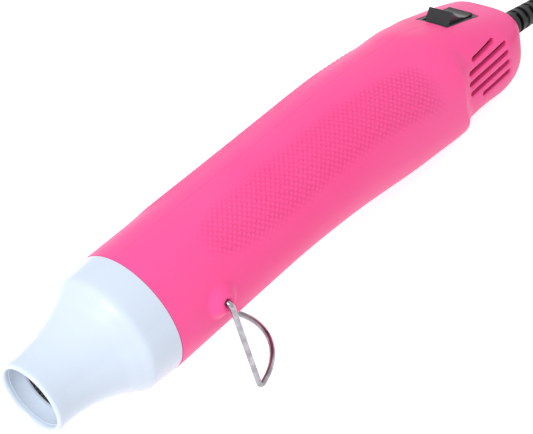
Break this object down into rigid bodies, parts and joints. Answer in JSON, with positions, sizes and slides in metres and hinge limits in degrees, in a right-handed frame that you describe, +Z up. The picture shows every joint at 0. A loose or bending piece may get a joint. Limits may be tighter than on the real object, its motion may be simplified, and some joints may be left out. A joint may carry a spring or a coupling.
{
  "type": "embossing heat tool",
  "caption": "Corded craft heat tool with a round knurled housing, flared outlet nozzle, rocker switch on a sloping tail, intake slots and a folding wire stand.",
  "frame": {"origin": "on the table under the middle of the tool, measured without the cord", "axes": "+X towards the tail, +Z up; the tool axis droops about 4 degrees towards the tail, on its open stand"},
  "size_m": [0.3925, 0.0817, 0.065],
  "materials": {
    "pink_plastic": "satin moulded, with a knurled grip patch on each side",
    "white_plastic": "smooth glossy moulded",
    "steel_mesh": "heat-darkened mesh",
    "steel": "plated",
    "mica": "pressed mica sheet",
    "heating_wire": "drawn resistance wire",
    "grey_plastic": "moulded",
    "brass": "plain",
    "ferrite": "sintered",
    "circuit_board": "coated board",
    "black_plastic": "moulded",
    "cord_rubber": "soft moulded jacket",
    "lead_insulation": "coloured insulation",
    "copper": "bare and enamelled copper",
    "bright_wire": "bright plated wire"
  },
  "bodies": {
    "tool": {"left_shell": "pink_plastic", "right_shell": "pink_plastic", "shell_screws": "steel", "nozzle": "white_plastic", "outlet_guard": "steel_mesh", "barrel_tube": "steel", "mica_sleeve": "mica", "mica_board_flat": "mica", "mica_board_upright": "mica", "heating_coil": "heating_wire", "thermal_cutout": "steel", "motor_carrier": "grey_plastic", "motor_screws": "steel", "motor_can": "steel", "motor_end_cap": "grey_plastic", "motor_terminals": "brass", "motor_brushes": "brass", "motor_bush_front": "brass", "motor_bush_rear": "brass", "motor_magnets": "ferrite", "rectifier_board": "circuit_board", "rectifier_diodes": "black_plastic", "switch_body": "black_plastic", "switch_terminals": "brass", "strain_relief": "cord_rubber", "inner_cord": "cord_rubber", "cord_clamp": "grey_plastic", "clamp_screws": "steel", "inner_leads": "lead_insulation", "power_cord": "cord_rubber", "cord_coil": "cord_rubber", "cord_tail": "cord_rubber", "cord_tie": "black_plastic", "plug_body": "cord_rubber", "plug_blades": "brass"},
    "fan_rotor": {"fan": "grey_plastic", "motor_shaft": "steel", "armature": "steel", "armature_windings": "copper", "commutator": "copper"},
    "rocker": {"rocker": "black_plastic"},
    "stand": {"wire_stand": "bright_wire"}
  },
  "joints": [
    {"name": "fan_spin", "type": "hinge", "parent": "tool", "child": "fan_rotor", "pos_m": [-0.01206, 0, 0.03612], "axis": [0.9974, 0, -0.072], "continuous": true},
    {"name": "rocker_press", "type": "hinge", "parent": "tool", "child": "rocker", "pos_m": [0.082, 0, 0.03419], "axis": [0, 1, 0], "range_deg": [-26, 0]},
    {"name": "stand_fold", "type": "hinge", "parent": "tool", "child": "stand", "pos_m": [-0.0728, 0, 0.0405], "axis": [0, 1, 0], "range_deg": [-19, 96]}
  ]
}
